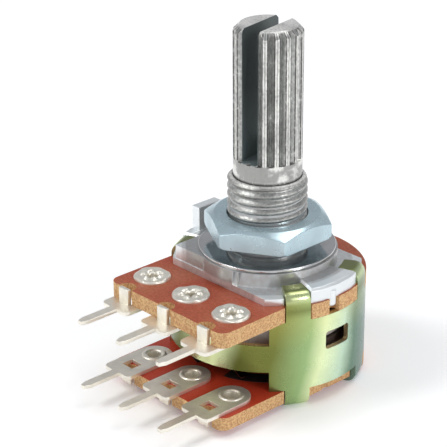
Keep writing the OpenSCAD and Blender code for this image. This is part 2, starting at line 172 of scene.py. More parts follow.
def colour(name, description, *display):
    """A colour property whose default is given as a display colour."""
    return FloatVectorProperty(
        name=name, description=description, default=linear(*display), subtype="COLOR", min=0, max=1
    )


def length(name, description, millimetres):
    """A length property whose default is given in millimetres."""
    return FloatProperty(
        name=name,
        description=description,
        default=millimetres * MM,
        min=0,
        precision=6,
        unit="LENGTH",
    )


class PotSizes(PropertyGroup):
    """Sizes of the detail that the looks add to the CAD parts."""

    metal_edge: length("Metal Edge", "Round on the edges of the shaft and terminals", 0.05)
    housing_edge: length("Housing Edge", "Round on the edges of the housing's sheet", 0.08)
    cast_edge: length("Cast Edge", "Round on the edges of the die casting", 0.11)
    board_edge: length("Board Edge", "Round on the punched edges of the boards", 0.05)
    nut_edge: length("Nut Edge", "Round on the edges of the nut", 0.1)
    washer_edge: length("Washer Edge", "Round on the edges of the washer", 0.08)
    rotor_edge: length("Rotor Edge", "Round on the edges of the rotors", 0.12)
    thread_pitch: length("Thread Pitch", "Pitch of the bushing's thread", 0.75)
    thread_depth: length("Thread Depth", "Depth of the bushing's thread", 0.24)
    petal_count: IntProperty(
        name="Crimp Petals", description="Petals of one crimped eyelet", default=6, min=4, max=10
    )


class PotColours(PropertyGroup):
    """Colours of the finishes."""

    zinc: colour("Zinc", "Die-cast zinc", 218, 222, 223)
    zinc_dark: colour("Zinc Shade", "Darker skin of the casting", 206, 203, 202)
    plating: colour("Nut Plating", "Blue-white zinc plating", 196, 218, 226)
    steel: colour("Bright Steel", "Polished steel of the washer", 214, 214, 214)
    shaft: colour("Shaft Metal", "Lands and crests of the turned metal", 184, 184, 180)
    # Painted shade in the grooves, flute bottoms and thread roots of the turned metal
    shaft_groove_shade: colour("Shaft Grooves", "Grooves of the turned metal", 166, 168, 166)
    shaft_slot: colour("Shaft Slot", "Sawn walls of the shaft's slot", 82, 90, 90)
    tin: colour("Tin", "Tinned terminals", 248, 243, 230)
    board: colour("Board", "Face of the phenolic board", 172, 70, 40)
    board_deep: colour("Rear Board", "Face of the rear phenolic board", 188, 60, 34)
    board_cut: colour("Board Edge", "Punched edge of the phenolic board", 244, 202, 142)
    olive: colour("Olive Film", "Thick parts of the chromate film", 114, 119, 56)
    yellow: colour("Yellow Film", "Thin parts of the chromate film", 232, 245, 192)
    gold: colour("Gold Film", "Warm tint of the chromate film near its upper rim", 240, 228, 128)
    mint: colour("Mint Film", "Green parts of the chromate film", 156, 186, 128)
    aqua: colour("Aqua Film", "Pale blue parts of the chromate film", 206, 232, 206)
    teal: colour("Teal Film", "Blue parts of the chromate film", 112, 144, 122)
    slate: colour("Slate Film", "Grey-blue parts of the chromate film", 116, 138, 144)
    carbon: colour("Carbon Ink", "Printed resistive track", 52, 40, 36)
    grey: colour("Front Moulding", "Pale grey front rotor", 222, 216, 210)
    black: colour("Rear Moulding", "Dark rear rotor", 104, 88, 80)
    bronze: colour("Spring Bronze", "Dull bronze of the wipers", 96, 84, 70)


def add(tree, kind, values=None, **settings):
    """A node with its settings, its input values and its incoming links."""
    node = tree.nodes.new(kind)
    for key, value in settings.items():
        setattr(node, key, value)
    for socket, value in (values or {}).items():
        if isinstance(value, bpy.types.NodeSocket):
            tree.links.new(value, node.inputs[socket])
        else:
            node.inputs[socket].default_value = value
    return node


def new_group(name, inputs, outputs):
    """An empty shader node group with named float inputs and outputs."""
    tree = bpy.data.node_groups.new(name, "ShaderNodeTree")
    for label, default in inputs.items():
        socket = tree.interface.new_socket(name=label, in_out="INPUT", socket_type="NodeSocketFloat")
        socket.default_value = default
    for label in outputs:
        tree.interface.new_socket(name=label, in_out="OUTPUT", socket_type="NodeSocketFloat")
    return tree, tree.nodes.new("NodeGroupInput"), tree.nodes.new("NodeGroupOutput")


def math_node(tree, operation, first, second=0.0):
    """The value of a Math node."""
    return add(tree, "ShaderNodeMath", {0: first, 1: second}, operation=operation).outputs[0]


def product(tree, *values):
    """Two or more values multiplied."""
    result = values[0]
    for value in values[1:]:
        result = math_node(tree, "MULTIPLY", result, value)
    return result


def mottle_group():
    """Soft patches that vary over a piece, as a mask."""
    name = "Mottle"
    if name in bpy.data.node_groups:
        return bpy.data.node_groups[name]
    tree, given, out = new_group(name, {"Scale": 400.0, "Low": 0.35, "High": 0.65}, ["Mask"])
    place = add(tree, "ShaderNodeTexCoord").outputs["Object"]
    noise = add(
        tree,
        "ShaderNodeTexNoise",
        {"Vector": place, "Scale": given.outputs["Scale"], "Detail": 4.0, "Roughness": 0.55},
    )
    spread = add(
        tree,
        "ShaderNodeMapRange",
        {
            "Value": noise.outputs["Fac"],
            "From Min": given.outputs["Low"],
            "From Max": given.outputs["High"],
        },
        clamp=True,
    )
    tree.links.new(spread.outputs["Result"], out.inputs["Mask"])
    return tree


def grain_group():
    """Fine grain for a rough skin, as a height."""
    name = "Grain"
    if name in bpy.data.node_groups:
        return bpy.data.node_groups[name]
    tree, given, out = new_group(name, {"Scale": 3000.0, "Coarse": 0.5}, ["Height"])
    place = add(tree, "ShaderNodeTexCoord").outputs["Object"]
    fine = add(
        tree,
        "ShaderNodeTexNoise",
        {"Vector": place, "Scale": given.outputs["Scale"], "Detail": 3.0, "Roughness": 0.6},
    ).outputs["Fac"]
    wide = product(tree, given.outputs["Scale"], 0.22)
    broad = add(
        tree, "ShaderNodeTexNoise", {"Vector": place, "Scale": wide, "Detail": 2.0}
    ).outputs["Fac"]
    height = math_node(tree, "ADD", fine, product(tree, broad, given.outputs["Coarse"]))
    tree.links.new(height, out.inputs["Height"])
    return tree


def lines_group():
    """Fine level lines, as on turned metal or on the edge of a layered board, as a height."""
    name = "Tool Lines"
    if name in bpy.data.node_groups:
        return bpy.data.node_groups[name]
    tree, given, out = new_group(name, {"Along": 400.0, "Across": 9000.0}, ["Height"])
    place = add(tree, "ShaderNodeTexCoord").outputs["Object"]
    parts = add(tree, "ShaderNodeSeparateXYZ", {"Vector": place})
    stretched = add(
        tree,
        "ShaderNodeCombineXYZ",
        {
            "X": product(tree, parts.outputs["X"], given.outputs["Along"]),
            "Y": product(tree, parts.outputs["Y"], given.outputs["Along"]),
            "Z": product(tree, parts.outputs["Z"], given.outputs["Across"]),
        },
    )
    noise = add(
        tree, "ShaderNodeTexNoise", {"Vector": stretched.outputs[0], "Scale": 1.0, "Detail": 3.0}
    )
    tree.links.new(noise.outputs["Fac"], out.inputs["Height"])
    return tree


def grouped(tree, group, output, **values):
    """The named output of a node group placed in a material."""
    node = tree.nodes.new("ShaderNodeGroup")
    node.node_tree = group
    for label, value in values.items():
        node.inputs[label].default_value = value
    return node.outputs[output]


def blend(tree, mask, first, second):
    """Two colours mixed by a mask. A colour is a socket or three numbers."""
    node = add(tree, "ShaderNodeMix", {"Factor": mask}, data_type="RGBA")
    for socket, value in ((node.inputs[6], first), (node.inputs[7], second)):
        if isinstance(value, bpy.types.NodeSocket):
            tree.links.new(value, socket)
        else:
            socket.default_value = (*value, 1)
    return node.outputs[2]


def span(tree, mask, low, high):
    """A mask spread from a low to a high value."""
    return add(tree, "ShaderNodeMapRange", {"Value": mask, "To Min": low, "To Max": high}).outputs[0]


def start_material(name, metallic=0.0):
    """A new material with its tree and its Principled shader."""
    material = bpy.data.materials.new(name)
    material.use_nodes = True
    tree = material.node_tree
    shader = tree.nodes["Principled BSDF"]
    shader.inputs["Metallic"].default_value = metallic
    return material, tree, shader


def feed(tree, shader, base, rough, height, strength, depth):
    """Links a colour, a roughness and a bump height into the shader. The depth is in millimetres."""
    tree.links.new(base, shader.inputs["Base Color"])
    tree.links.new(rough, shader.inputs["Roughness"])
    bump = add(
        tree, "ShaderNodeBump", {"Height": height, "Strength": strength, "Distance": depth * MM}
    )
    tree.links.new(bump.outputs["Normal"], shader.inputs["Normal"])


def built_once(build):
    """Gives a finish that is already there by its name, and builds it only when it isn't."""

    def find(name, *values, **settings):
        return bpy.data.materials.get(name) or build(name, *values, **settings)

    return find


@built_once
def metal(name, tone, shade, rough, patch, bump=(0.25, 0.02), metallic=1.0):
    """A metal with soft patches of a darker shade and fine grain."""
    material, tree, shader = start_material(name, metallic)
    mask = grouped(tree, mottle_group(), "Mask", Scale=patch, Low=0.38, High=0.68)
    base = blend(tree, mask, tuple(tone), shaded(tone, shade))
    grain = grouped(tree, grain_group(), "Height", Scale=3000.0)
    feed(tree, shader, base, span(tree, mask, *rough), grain, *bump)
    return material


@built_once
def cast_metal(name, colours):
    """Die-cast metal, with painted shade on the wall of the seat and painted highlights on the ears."""
    material, tree, shader = start_material(name, 0.7)
    light, dark = tuple(colours.zinc), tuple(colours.zinc_dark)
    mask = grouped(tree, mottle_group(), "Mask", Scale=2400.0, Low=0.38, High=0.68)
    base = blend(tree, mask, light, dark)
    height, reach = height_and_reach(tree)
    # Painted shade: the wall of the seat round the bushing is darker
    seat_shade = product(tree, ramped(tree, height, *SEAT_SHADE_HEIGHT), ramped(tree, reach, *SEAT_SHADE_R), 0.5)
    base = blend(tree, seat_shade, base, shaded(dark, 0.4))
    # Painted highlights: the ears' tops, and then their outer faces, are lighter
    base = blend(tree, ramped(tree, reach, *EAR_TOP_HIGHLIGHT_R), base, shaded(light, 1.28))
    base = blend(tree, ramped(tree, reach, *EAR_FACE_HIGHLIGHT_R), base, shaded(light, 1.2))
    grain = grouped(tree, grain_group(), "Height", Scale=2400.0)
    rough = span(tree, mask, 0.28, 0.38)
    feed(tree, shader, base, rough, grain, strength=0.35, depth=0.025)
    return material


def height_and_reach(tree):
    """The height over the mounting face and the distance from the shaft's axis."""
    place = add(tree, "ShaderNodeTexCoord").outputs["Object"]
    flat = add(tree, "ShaderNodeVectorMath", {0: place, 1: (1, 1, 0)}, operation="MULTIPLY")
    reach = add(tree, "ShaderNodeVectorMath", {0: flat.outputs[0]}, operation="LENGTH")
    height = add(tree, "ShaderNodeSeparateXYZ", {"Vector": place}).outputs["Z"]
    return height, reach.outputs["Value"]


def turn_round(tree, place):
    """The angle round the shaft's axis, in radians."""
    parts = add(tree, "ShaderNodeSeparateXYZ", {"Vector": place})
    return math_node(tree, "ARCTAN2", parts.outputs["Y"], parts.outputs["X"])


@built_once
def turned_metal(name, colours, radii, top, grip=False):
    """Metal turned on a lathe, with fine streaks, and with painted shade that makes it darker at the
    first radius than at the second.

    The grip has painted flute lines, a ring of painted shade at the bushing, a sawn slot, and a plain
    collar with painted reflections as well.
    """
    material, tree, shader = start_material(name, 1.0)
    place = add(tree, "ShaderNodeTexCoord").outputs["Object"]
    height, reach = height_and_reach(tree)
    # Painted shade: darker from the crests down into the grooves
    crests = ramped(tree, reach, *radii)
    if not grip:
        crests = math_node(tree, "POWER", crests, 2.0)
    crests = math_node(tree, "MAXIMUM", crests, ramped(tree, height, *(top - d for d in CHAMFER)))
    dull = ramped(tree, height, *(top - d for d in END_FACE))
    light, deep = tuple(colours.shaft), tuple(colours.shaft_groove_shade)
    base = blend(tree, crests, deep, light)
    # Painted highlight: the flat top end is lighter
    base = blend(tree, dull, base, shaded(light, 1.5))
    if grip:
        # Painted shade: a dark ring where the shaft comes out of the bushing
        groove = peak(tree, height, SHADE_RING_HEIGHT * MM, SHADE_RING_REACH * MM, 0.85)
        base = blend(tree, groove, base, shaded(light, 0.12))
        base = painted_flute_lines(tree, place, height, reach, base, light)
    stretch = (1.0, 1.0, 0.55) if grip else (0.7, 0.7, 1.2)
    drawn = add(tree, "ShaderNodeVectorMath", {0: place, 1: stretch}, operation="MULTIPLY")
    streaks = add(
        tree, "ShaderNodeTexNoise", {"Vector": drawn.outputs[0], "Scale": 5200.0, "Detail": 3.0}
    ).outputs["Fac"]
    dark = add(
        tree, "ShaderNodeMapRange", {"Value": streaks, "From Min": 0.5, "From Max": 0.72, "To Max": 0.5}
    ).outputs[0]
    bright = add(
        tree, "ShaderNodeMapRange", {"Value": streaks, "From Min": 0.46, "From Max": 0.3, "To Max": 0.4}
    ).outputs[0]
    base = blend(tree, dark, base, shaded(light, 0.2))
    base = blend(tree, bright, base, shaded(light, 1.8))
    # Soft darker patches: random tone over the turned metal, and on the collar painted dark reflections
    # as well
    patches = grouped(tree, mottle_group(), "Mask", Scale=520.0, Low=0.42, High=0.62)
    base = blend(tree, span(tree, patches, 0.0, 0.32), base, shaded(light, 0.35))
    if grip:
        # Painted reflections on the plain collar
        base = collar_reflections(tree, height, base, light)
        slot = slot_mask(tree, place, height)
        depth = ramped(tree, height, *SLOT_PALE)
        tone = blend(tree, depth, tuple(colours.shaft_slot), shaded(colours.shaft_slot, 2.2))
        base = blend(tree, slot, base, tone)
        dull = math_node(tree, "MAXIMUM", dull, slot)
    tree.links.new(span(tree, dull, 1.0, 0.35), shader.inputs["Metallic"])
    tool = grouped(tree, lines_group(), "Height", Along=1200.0, Across=7000.0)
    rough = span(tree, streaks, *((0.2, 0.45) if grip else (0.34, 0.6)))
    feed(tree, shader, base, rough, tool, strength=0.25, depth=0.015)
    return material


def ramped(tree, value, low, high):
    """A value in metres as a mask that rises between two sizes in millimetres."""
    values = {"Value": value, "From Min": low * MM, "From Max": high * MM}
    return add(tree, "ShaderNodeMapRange", values, clamp=True).outputs[0]


def peak(tree, value, centre, reach, share=1.0):
    """A mask with one peak at a centre, that falls to nothing at a reach from it."""
    off = math_node(tree, "ABSOLUTE", math_node(tree, "SUBTRACT", value, centre))
    values = {"Value": off, "From Max": reach, "To Min": share, "To Max": 0.0}
    return add(tree, "ShaderNodeMapRange", values, clamp=True).outputs[0]


def painted_flute_lines(tree, place, height, reach, base, light):
    """Painted highlights along the flutes' edges, each with a line of painted shade inside the flute.
    """
    turn = math_node(tree, "SUBTRACT", turn_round(tree, place), SLOT_TURN - math.pi / 2)
    off_centre = math_node(tree, "PINGPONG", product(tree, turn, FLUTES / math.tau), 0.5)
    above = math_node(tree, "GREATER_THAN", height, FLUTE_START * MM)
    fluted = product(tree, above, math_node(tree, "GREATER_THAN", reach, FLUTE_ROOT_R * MM))
    dark = product(tree, peak(tree, off_centre, *SHADE_LINE), fluted)
    bright = product(tree, peak(tree, off_centre, *HIGHLIGHT_LINE), fluted)
    # A line of painted shade, then a painted highlight
    base = blend(tree, dark, base, shaded(light, 0.06))
    return blend(tree, bright, base, shaded(light, 2.08))


def collar_reflections(tree, height, base, light):
    """Painted reflections: broad light and dark patches on the plain collar under the grip."""
    collar = product(tree, ramped(tree, height, *COLLAR_FOOT), ramped(tree, height, *COLLAR_END))
    broad = grouped(tree, mottle_group(), "Mask", Scale=430.0, Low=0.46, High=0.54)
    base = blend(tree, product(tree, collar, 0.62), base, shaded(light, 2.0))
    return blend(tree, product(tree, collar, broad, 0.65), base, shaded(light, 0.3))


def slot_mask(tree, place, height):
    """Mask of the walls and floor of the slot across the shaft's grip."""
    side = (math.cos(SLOT_TURN), math.sin(SLOT_TURN), 0)
    off = add(tree, "ShaderNodeVectorMath", {0: place, 1: side}, operation="DOT_PRODUCT")
    off = math_node(tree, "ABSOLUTE", off.outputs["Value"])
    inside = math_node(tree, "LESS_THAN", off, SLOT_HALF_WIDTH * MM)
    return product(tree, inside, math_node(tree, "GREATER_THAN", height, FLUTE_START * MM))


def shaded(tone, share):
    """A colour made darker by a share under one, or lighter by one above it."""
    return tuple(c * share for c in tone)


@built_once
def chromate(name, colours):
    """Chromate film on steel: its tint turns from olive over yellow and mint to teal."""
    material, tree, shader = start_material(name, 0.8)
    place = add(tree, "ShaderNodeTexCoord").outputs["Object"]
    height, reach = height_and_reach(tree)
    share = math_node(tree, "DIVIDE", turn_round(tree, place), math.tau)
    cloud = add(
        tree, "ShaderNodeTexNoise", {"Vector": place, "Scale": 170.0, "Detail": 2.0}
    ).outputs["Fac"]
    shift = product(tree, math_node(tree, "SUBTRACT", cloud, 0.5), 0.035)
    lean = product(tree, math_node(tree, "SUBTRACT", height, TINT_HEIGHT * MM), TINT_LEAN)
    where = math_node(tree, "ADD", math_node(tree, "ADD", share, shift), lean)
    ramp = add(tree, "ShaderNodeValToRGB", {"Fac": math_node(tree, "FRACT", where)})
    stops = (
        (0.0, colours.aqua),
        (0.03, colours.teal),
        (0.13, colours.slate),
        (0.22, colours.olive),
        (0.36, colours.mint),
        (0.43, colours.yellow),
        (0.60, colours.teal),
        (0.70, colours.olive),
        (0.782, colours.yellow),
        (0.822, colours.olive),
        (0.874, colours.olive),
        (0.93, colours.mint),
        (0.955, colours.yellow),
        (1.0, colours.aqua),
    )
    band = ramp.color_ramp
    while len(band.elements) < len(stops):
        band.elements.new(0.5)
    for element, (position, tone) in zip(band.elements, stops):
        element.position = position
        element.color = (*tone, 1)
    mask = grouped(tree, mottle_group(), "Mask", Scale=700.0, Low=0.4, High=0.75)
    base = blend(tree, span(tree, mask, 0.0, 0.1), ramp.outputs["Color"], tuple(colours.olive))
    # Painted highlight: pale cream on the inner face and cut edges of the sheet
    cut = product(
        tree,
        ramped(tree, reach, *SHEET_INSIDE_R),
        ramped(tree, height, *SHEET_CUT_TOP),
        ramped(tree, height, *SHEET_CUT_FOOT),
    )
    # Painted shade on the tabs' legs just under their bends
    under_bend_shade = peak(tree, height, UNDER_BEND_HEIGHT * MM, UNDER_BEND_REACH * MM, 0.6)
    for cover, tone in (
        (product(tree, cut, 0.7), tuple(colours.board_cut)),
        (product(tree, ramped(tree, height, *UPPER_WALL), 0.15), tuple(colours.gold)),
        # Painted highlight along the tabs' bends
        (product(tree, ramped(tree, height, *TAB_BEND_HIGHLIGHT), 0.5), tuple(colours.yellow)),
        (product(tree, ramped(tree, height, *TAB_TOP), 0.8), shaded(colours.olive, 0.8)),
        (under_bend_shade, shaded(colours.olive, 0.75)),
    ):
        base = blend(tree, cover, base, tone)
    grain = grouped(tree, grain_group(), "Height", Scale=2600.0)
    rough = span(tree, mask, 0.27, 0.31)
    feed(tree, shader, base, rough, grain, strength=0.03, depth=0.01)
    return material


@built_once
def board_face(name, colours):
    """Smooth face of the phenolic board, with fine paper speckle."""
    material, tree, shader = start_material(name)
    mask = grouped(tree, mottle_group(), "Mask", Scale=4200.0, Low=0.35, High=0.7)
    broad = grouped(tree, mottle_group(), "Mask", Scale=260.0, Low=0.3, High=0.7)
    tone = blend(tree, mask, tuple(colours.board), shaded(colours.board, 0.7))
    base = blend(tree, span(tree, broad, 0.0, 0.16), tone, shaded(colours.board_cut, 0.7))
    height, _ = height_and_reach(tree)
    base = blend(tree, ramped(tree, height, *REAR_BOARD), base, tuple(colours.board_deep))
    grain = grouped(tree, grain_group(), "Height", Scale=2800.0)
    rough = span(tree, mask, 0.38, 0.58)
    feed(tree, shader, base, rough, grain, strength=0.3, depth=0.02)
    return material


@built_once
def board_edge(name, colours):
    """Punched edge of the phenolic board: torn paper fibres, pale with dark flecks."""
    material, tree, shader = start_material(name)
    layers = grouped(tree, lines_group(), "Height", Along=1500.0, Across=9000.0)
    flecks = grouped(tree, mottle_group(), "Mask", Scale=6000.0, Low=0.42, High=0.6)
    tone = blend(tree, span(tree, flecks, 0.0, 0.6), tuple(colours.board_cut), tuple(colours.board))
    base = blend(tree, span(tree, layers, -0.2, 0.7), tone, shaded(colours.board_cut, 0.5))
    height = math_node(tree, "ADD", layers, grouped(tree, grain_group(), "Height", Scale=1800.0))
    rough = span(tree, flecks, 0.6, 0.8)
    feed(tree, shader, base, rough, height, strength=0.7, depth=0.06)
    return material


@built_once
def moulding(name, tone, rough):
    """Moulded plastic with a fine skin."""
    material, tree, shader = start_material(name)
    mask = grouped(tree, mottle_group(), "Mask", Scale=500.0, Low=0.35, High=0.7)
    base = blend(tree, mask, tuple(tone), shaded(tone, 0.7))
    grain = grouped(tree, grain_group(), "Height", Scale=3500.0)
    worn = span(tree, mask, rough, rough + 0.12)
    feed(tree, shader, base, worn, grain, strength=0.2, depth=0.015)
    return material


def finishes(colours):
    """Every finish of the object by its material slot, with two that share a slot with another."""
    return {
        "die_cast_zinc": cast_metal("cast_zinc", colours),
        "blue_zinc_plate": metal(
            "nut_plating",
            colours.plating,
            shade=0.86,
            rough=(0.24, 0.34),
            patch=420.0,
            bump=(0.12, 0.01),
            metallic=0.65,
        ),
        "bright_steel": metal(
            "washer_steel", colours.steel, shade=0.75, rough=(0.12, 0.2), patch=300.0
        ),
        "green_chromate": chromate("chromate_film", colours),
        "tinned_terminal": metal(
            "terminal_tin",
            colours.tin,
            shade=0.86,
            rough=(0.34, 0.44),
            patch=900.0,
            bump=(0.15, 0.02),
            metallic=0.8,
        ),
        "shaft_metal": turned_metal("turned_shaft", colours, GRIP_R, SHAFT_TOP, grip=True),
        "thread": turned_metal("turned_thread", colours, THREAD_R, BUSHING_TOP),
        "phenolic_board": board_face("phenolic_face", colours),
        "board_edge": board_edge("phenolic_edge", colours),
        "carbon_ink": moulding("printed_carbon", colours.carbon, rough=0.55),
        "grey_moulding": moulding("moulded_grey", colours.grey, rough=0.45),
        "black_moulding": moulding("moulded_black", colours.black, rough=0.4),
        "silver_ink": metal(
            "printed_silver", colours.steel, shade=0.6, rough=(0.4, 0.55), patch=600.0
        ),
        "spring_bronze": metal(
            "rolled_bronze", colours.bronze, shade=0.7, rough=(0.25, 0.35), patch=400.0
        ),
    }


def finished(bm, name, materials, smooth_angle=35.0):
    """A bmesh as an object at the origin, smooth between its sharp edges."""
    mesh = bpy.data.meshes.new(name)
    for face in bm.faces:
        face.smooth = True
    bm.to_mesh(mesh)
    bm.free()
    mesh.set_sharp_from_angle(angle=math.radians(smooth_angle))
    for material in materials:
        mesh.materials.append(material)
    piece = bpy.data.objects.new(name, mesh)
    bpy.context.scene.collection.objects.link(piece)
    weighted = piece.modifiers.new("Weighted Normal", "WEIGHTED_NORMAL")
    weighted.keep_sharp = True
    weighted.weight = 60
    return piece


def merged_copy(node):
    """A bmesh with a node's surface as joined flat and curved faces."""
    bm = bmesh.new()
    bm.from_mesh(frame["nodes"][node].data)
    bmesh.ops.remove_doubles(bm, verts=bm.verts, dist=0.0005 * MM)
    bmesh.ops.dissolve_limit(
        bm, angle_limit=math.radians(0.5), verts=bm.verts, edges=bm.edges, delimit=set()
    )
    return bm


def round_edges(bm, width, angle=30.0, segments=2):
    """Bevels the edges that turn by more than an angle."""
    sharp = [
        edge
        for edge in bm.edges
        if len(edge.link_faces) == 2 and edge.calc_face_angle(0) > math.radians(angle)
    ]
    bmesh.ops.bevel(
        bm,
        geom=sharp,
        offset=width,
        offset_type="OFFSET",
        segments=segments,
        profile=0.5,
        affect="EDGES",
        clamp_overlap=True,
        material=-1,
    )


def spun(bm, geometry, steps):
    """Turns a profile all the way round the shaft's axis."""
    bmesh.ops.spin(
        bm,
        geom=geometry,
        cent=(0, 0, 0),
        axis=(0, 0, 1),
        angle=math.tau,
        steps=steps,
        use_merge=True,
    )


def stand_for(piece, node):
    """The piece rides on the node's body and replaces it."""
    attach(piece, frame["nodes"][node]["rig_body"])
    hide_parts(node)


def node_slots():
    """Material slot of each CAD node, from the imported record."""
    return {part["node"]: part["material_slot"] for part in frame["record"]["subparts"]}


SLOTS = node_slots()


def looks(context):
    """Sizes and finishes of the scene."""
    scene = context.scene
    return scene.pot_sizes, finishes(scene.pot_colours)


class POT_OT_stage(Operator):
    """Sets up the floor, the soft studio lamps and the camera"""

    bl_idname = "pot.stage"
    bl_label = "Set Up Studio"

    def execute(self, context):
        scene = context.scene
        scene.view_settings.view_transform = "Standard"
        scene.world = self.room()
        self.add_floor(scene)
        self.add_lamps(scene)
        self.add_camera(scene)
        return {"FINISHED"}

    def seen_rays(self, tree):
        """One for the rays that show the background: of the camera, reflections and glass."""
        rays = add(tree, "ShaderNodeLightPath").outputs
        seen = math_node(tree, "MAXIMUM", rays["Is Camera Ray"], rays["Is Glossy Ray"])
        return math_node(tree, "MAXIMUM", seen, rays["Is Transmission Ray"])

    def room(self):
        """A dim room whose wall is seen as white up to a low height."""
        world = bpy.data.worlds.new("studio_room")
        world.use_nodes = True
        tree = world.node_tree
        room = tree.nodes["Background"]
        direction = add(tree, "ShaderNodeTexCoord").outputs["Generated"]
        rise = add(tree, "ShaderNodeSeparateXYZ", {"Vector": direction}).outputs["Z"]
        limits = {"Value": rise, "From Min": WALL_RISE[0], "From Max": WALL_RISE[1]}
        wall = add(tree, "ShaderNodeMapRange", limits, clamp=True).outputs[0]
        white = product(tree, self.seen_rays(tree), wall)
        tree.links.new(blend(tree, white, ROOM_TONE, (1, 1, 1)), room.inputs["Color"])
        tree.links.new(span(tree, white, ROOM_STRENGTH, 1.0), room.inputs["Strength"])
        return world

    def add_floor(self, scene):
        """White paper under the part, that keeps its shadow."""
        bm = bmesh.new()
        bmesh.ops.create_grid(bm, x_segments=1, y_segments=1, size=2.0)
        bmesh.ops.translate(bm, vec=(0, 0, cad_low.z - 0.02 * MM), verts=bm.verts)
        mesh = bpy.data.meshes.new("floor")
        bm.to_mesh(mesh)
        bm.free()
        floor = bpy.data.objects.new("floor", mesh)
        scene.collection.objects.link(floor)
        material, tree, shader = start_material("floor_paper")
        shader.inputs["Base Color"].default_value = (1.0, 1.0, 1.0, 1)
        shader.inputs["Roughness"].default_value = 0.9
        shader.inputs["Specular IOR Level"].default_value = 0.1
        _, reach = height_and_reach(tree)
        far = product(tree, ramped(tree, reach, *FLOOR_FAR), FLOOR_GLOW_FAR)
        glow = product(tree, self.seen_rays(tree), math_node(tree, "ADD", far, FLOOR_GLOW))
        tree.links.new(glow, shader.inputs["Emission Strength"])
        shader.inputs["Emission Color"].default_value = (1.0, 1.0, 1.0, 1)
        mesh.materials.append(material)

    def add_lamps(self, scene):
        """Soft square lamps that all face the part."""
        for name, place, size, power in LAMPS:
            lamp = bpy.data.lights.new(name, "AREA")
            lamp.shape = "SQUARE"
            lamp.size = size
            lamp.energy = power
            holder = bpy.data.objects.new(name, lamp)
            holder.location = place
            facing = (LAMP_AIM - Vector(place)).to_track_quat("-Z", "Y")
            holder.rotation_euler = facing.to_euler()
            scene.collection.objects.link(holder)

    def add_camera(self, scene):
        """The camera, where the photo was taken from."""
        camera = bpy.data.cameras.new("camera")
        camera.lens = CAMERA_LENS
        camera.clip_start = 0.01
        camera.clip_end = 10.0
        camera.dof.use_dof = False
        holder = bpy.data.objects.new("camera", camera)
        back = CAMERA_BACK.normalized()
        right = Vector((-back.y, back.x, 0)).normalized()
        up = back.cross(right)
        axes = Matrix((right, up, back)).transposed().to_4x4()
        roll = Matrix.Rotation(CAMERA_ROLL, 4, "Z")
        holder.matrix_world = Matrix.Translation(CAMERA_PLACE) @ axes @ roll
        scene.collection.objects.link(holder)
        scene.camera = holder


class POT_OT_housing(Operator):
    """Builds the chromated steel housing"""

    bl_idname = "pot.housing"
    bl_label = "Build Housing"

    def execute(self, context):
        sizes, finish = looks(context)
        bm = merged_copy("housing_shell")
        round_edges(bm, sizes.housing_edge)
        piece = finished(bm, "steel_housing", [finish["green_chromate"]])
        stand_for(piece, "housing_shell")
        return {"FINISHED"}


class POT_OT_boards(Operator):
    """Builds the two phenolic boards"""

    bl_idname = "pot.boards"
    bl_label = "Build Boards"

    def execute(self, context):
        sizes, finish = looks(context)
        for node in ("front_wafer", "rear_wafer"):
            bm = merged_copy(node)
            for face in bm.faces:
                face.material_index = 0 if abs(face.normal.z) > 0.5 else 1
            round_edges(bm, sizes.board_edge, segments=1)
            name = node.replace("wafer", "board")
            piece = finished(bm, name, [finish["phenolic_board"], finish["board_edge"]])
            stand_for(piece, node)
        return {"FINISHED"}


class POT_OT_plate(Operator):
    """Builds the die-cast mounting plate and the bushing's thread"""

    bl_idname = "pot.plate"
    bl_label = "Build Mounting Plate"

    def execute(self, context):
        sizes, finish = looks(context)
        bm = merged_copy("bushing_plate")
        self.slim_bushing(bm, sizes)
        round_edges(bm, sizes.cast_edge, angle=40)
        plate = finished(bm, "cast_plate", [finish["die_cast_zinc"]])
        stand_for(plate, "bushing_plate")
        thread = self.thread(sizes, finish["thread"])
        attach(thread, "housing")
        return {"FINISHED"}

    def slim_bushing(self, bm, sizes):
        """Draws the bushing in under the thread's root, and its mouth under the thread's end."""
        outer = BUSHING_R * MM
        bore, foot, hidden = 3.1 * MM, 0.4 * MM, 0.05 * MM
        root = outer - sizes.thread_depth - hidden
        for vert in bm.verts:
            reach = vert.co.to_2d().length
            if vert.co.z > foot and bore < reach < outer + 0.01 * MM:
                vert.co.xy *= root / reach
                vert.co.z -= hidden

    def thread(self, sizes, material):
        """A sleeve with a running thread, chamfered at its mouth."""
        outer, inner, low, high = BUSHING_R * MM, 3.06 * MM, 0.3 * MM, BUSHING_TOP * MM
        chamfer, run_out = 0.3 * MM, 0.4 * MM
        crest, flanks = 0.12, 0.76
        rows, steps = 110, 96
        bm = bmesh.new()
        heights = [low + (high - low) * i / rows for i in range(rows + 1)]
        line = [bm.verts.new((outer, 0, z)) for z in heights]
        line += [bm.verts.new((inner, 0, high)), bm.verts.new((inner, 0, low))]
        edges = [bm.edges.new(pair) for pair in zip(line, line[1:])]
        edges.append(bm.edges.new((line[-1], line[0])))
        spun(bm, line + edges, steps)
        for vert in bm.verts:
            reach = vert.co.to_2d().length
            if reach < (outer + inner) / 2:
                continue
            turn = math.atan2(vert.co.y, vert.co.x) / math.tau
            phase = (vert.co.z / sizes.thread_pitch - turn) % 1.0
            groove = 1 - min(1.0, max(0.0, abs(phase - 0.5) * 2 - crest) / flanks)
            fade = min(1.0, max(0.0, high - vert.co.z) / run_out) ** 0.5
            cut = sizes.thread_depth * groove * fade
            cut = max(cut, chamfer - (high - vert.co.z))
            vert.co.xy *= (outer - cut) / reach
        bmesh.ops.recalc_face_normals(bm, faces=bm.faces)
        return finished(bm, "bushing_thread", [material], smooth_angle=50)


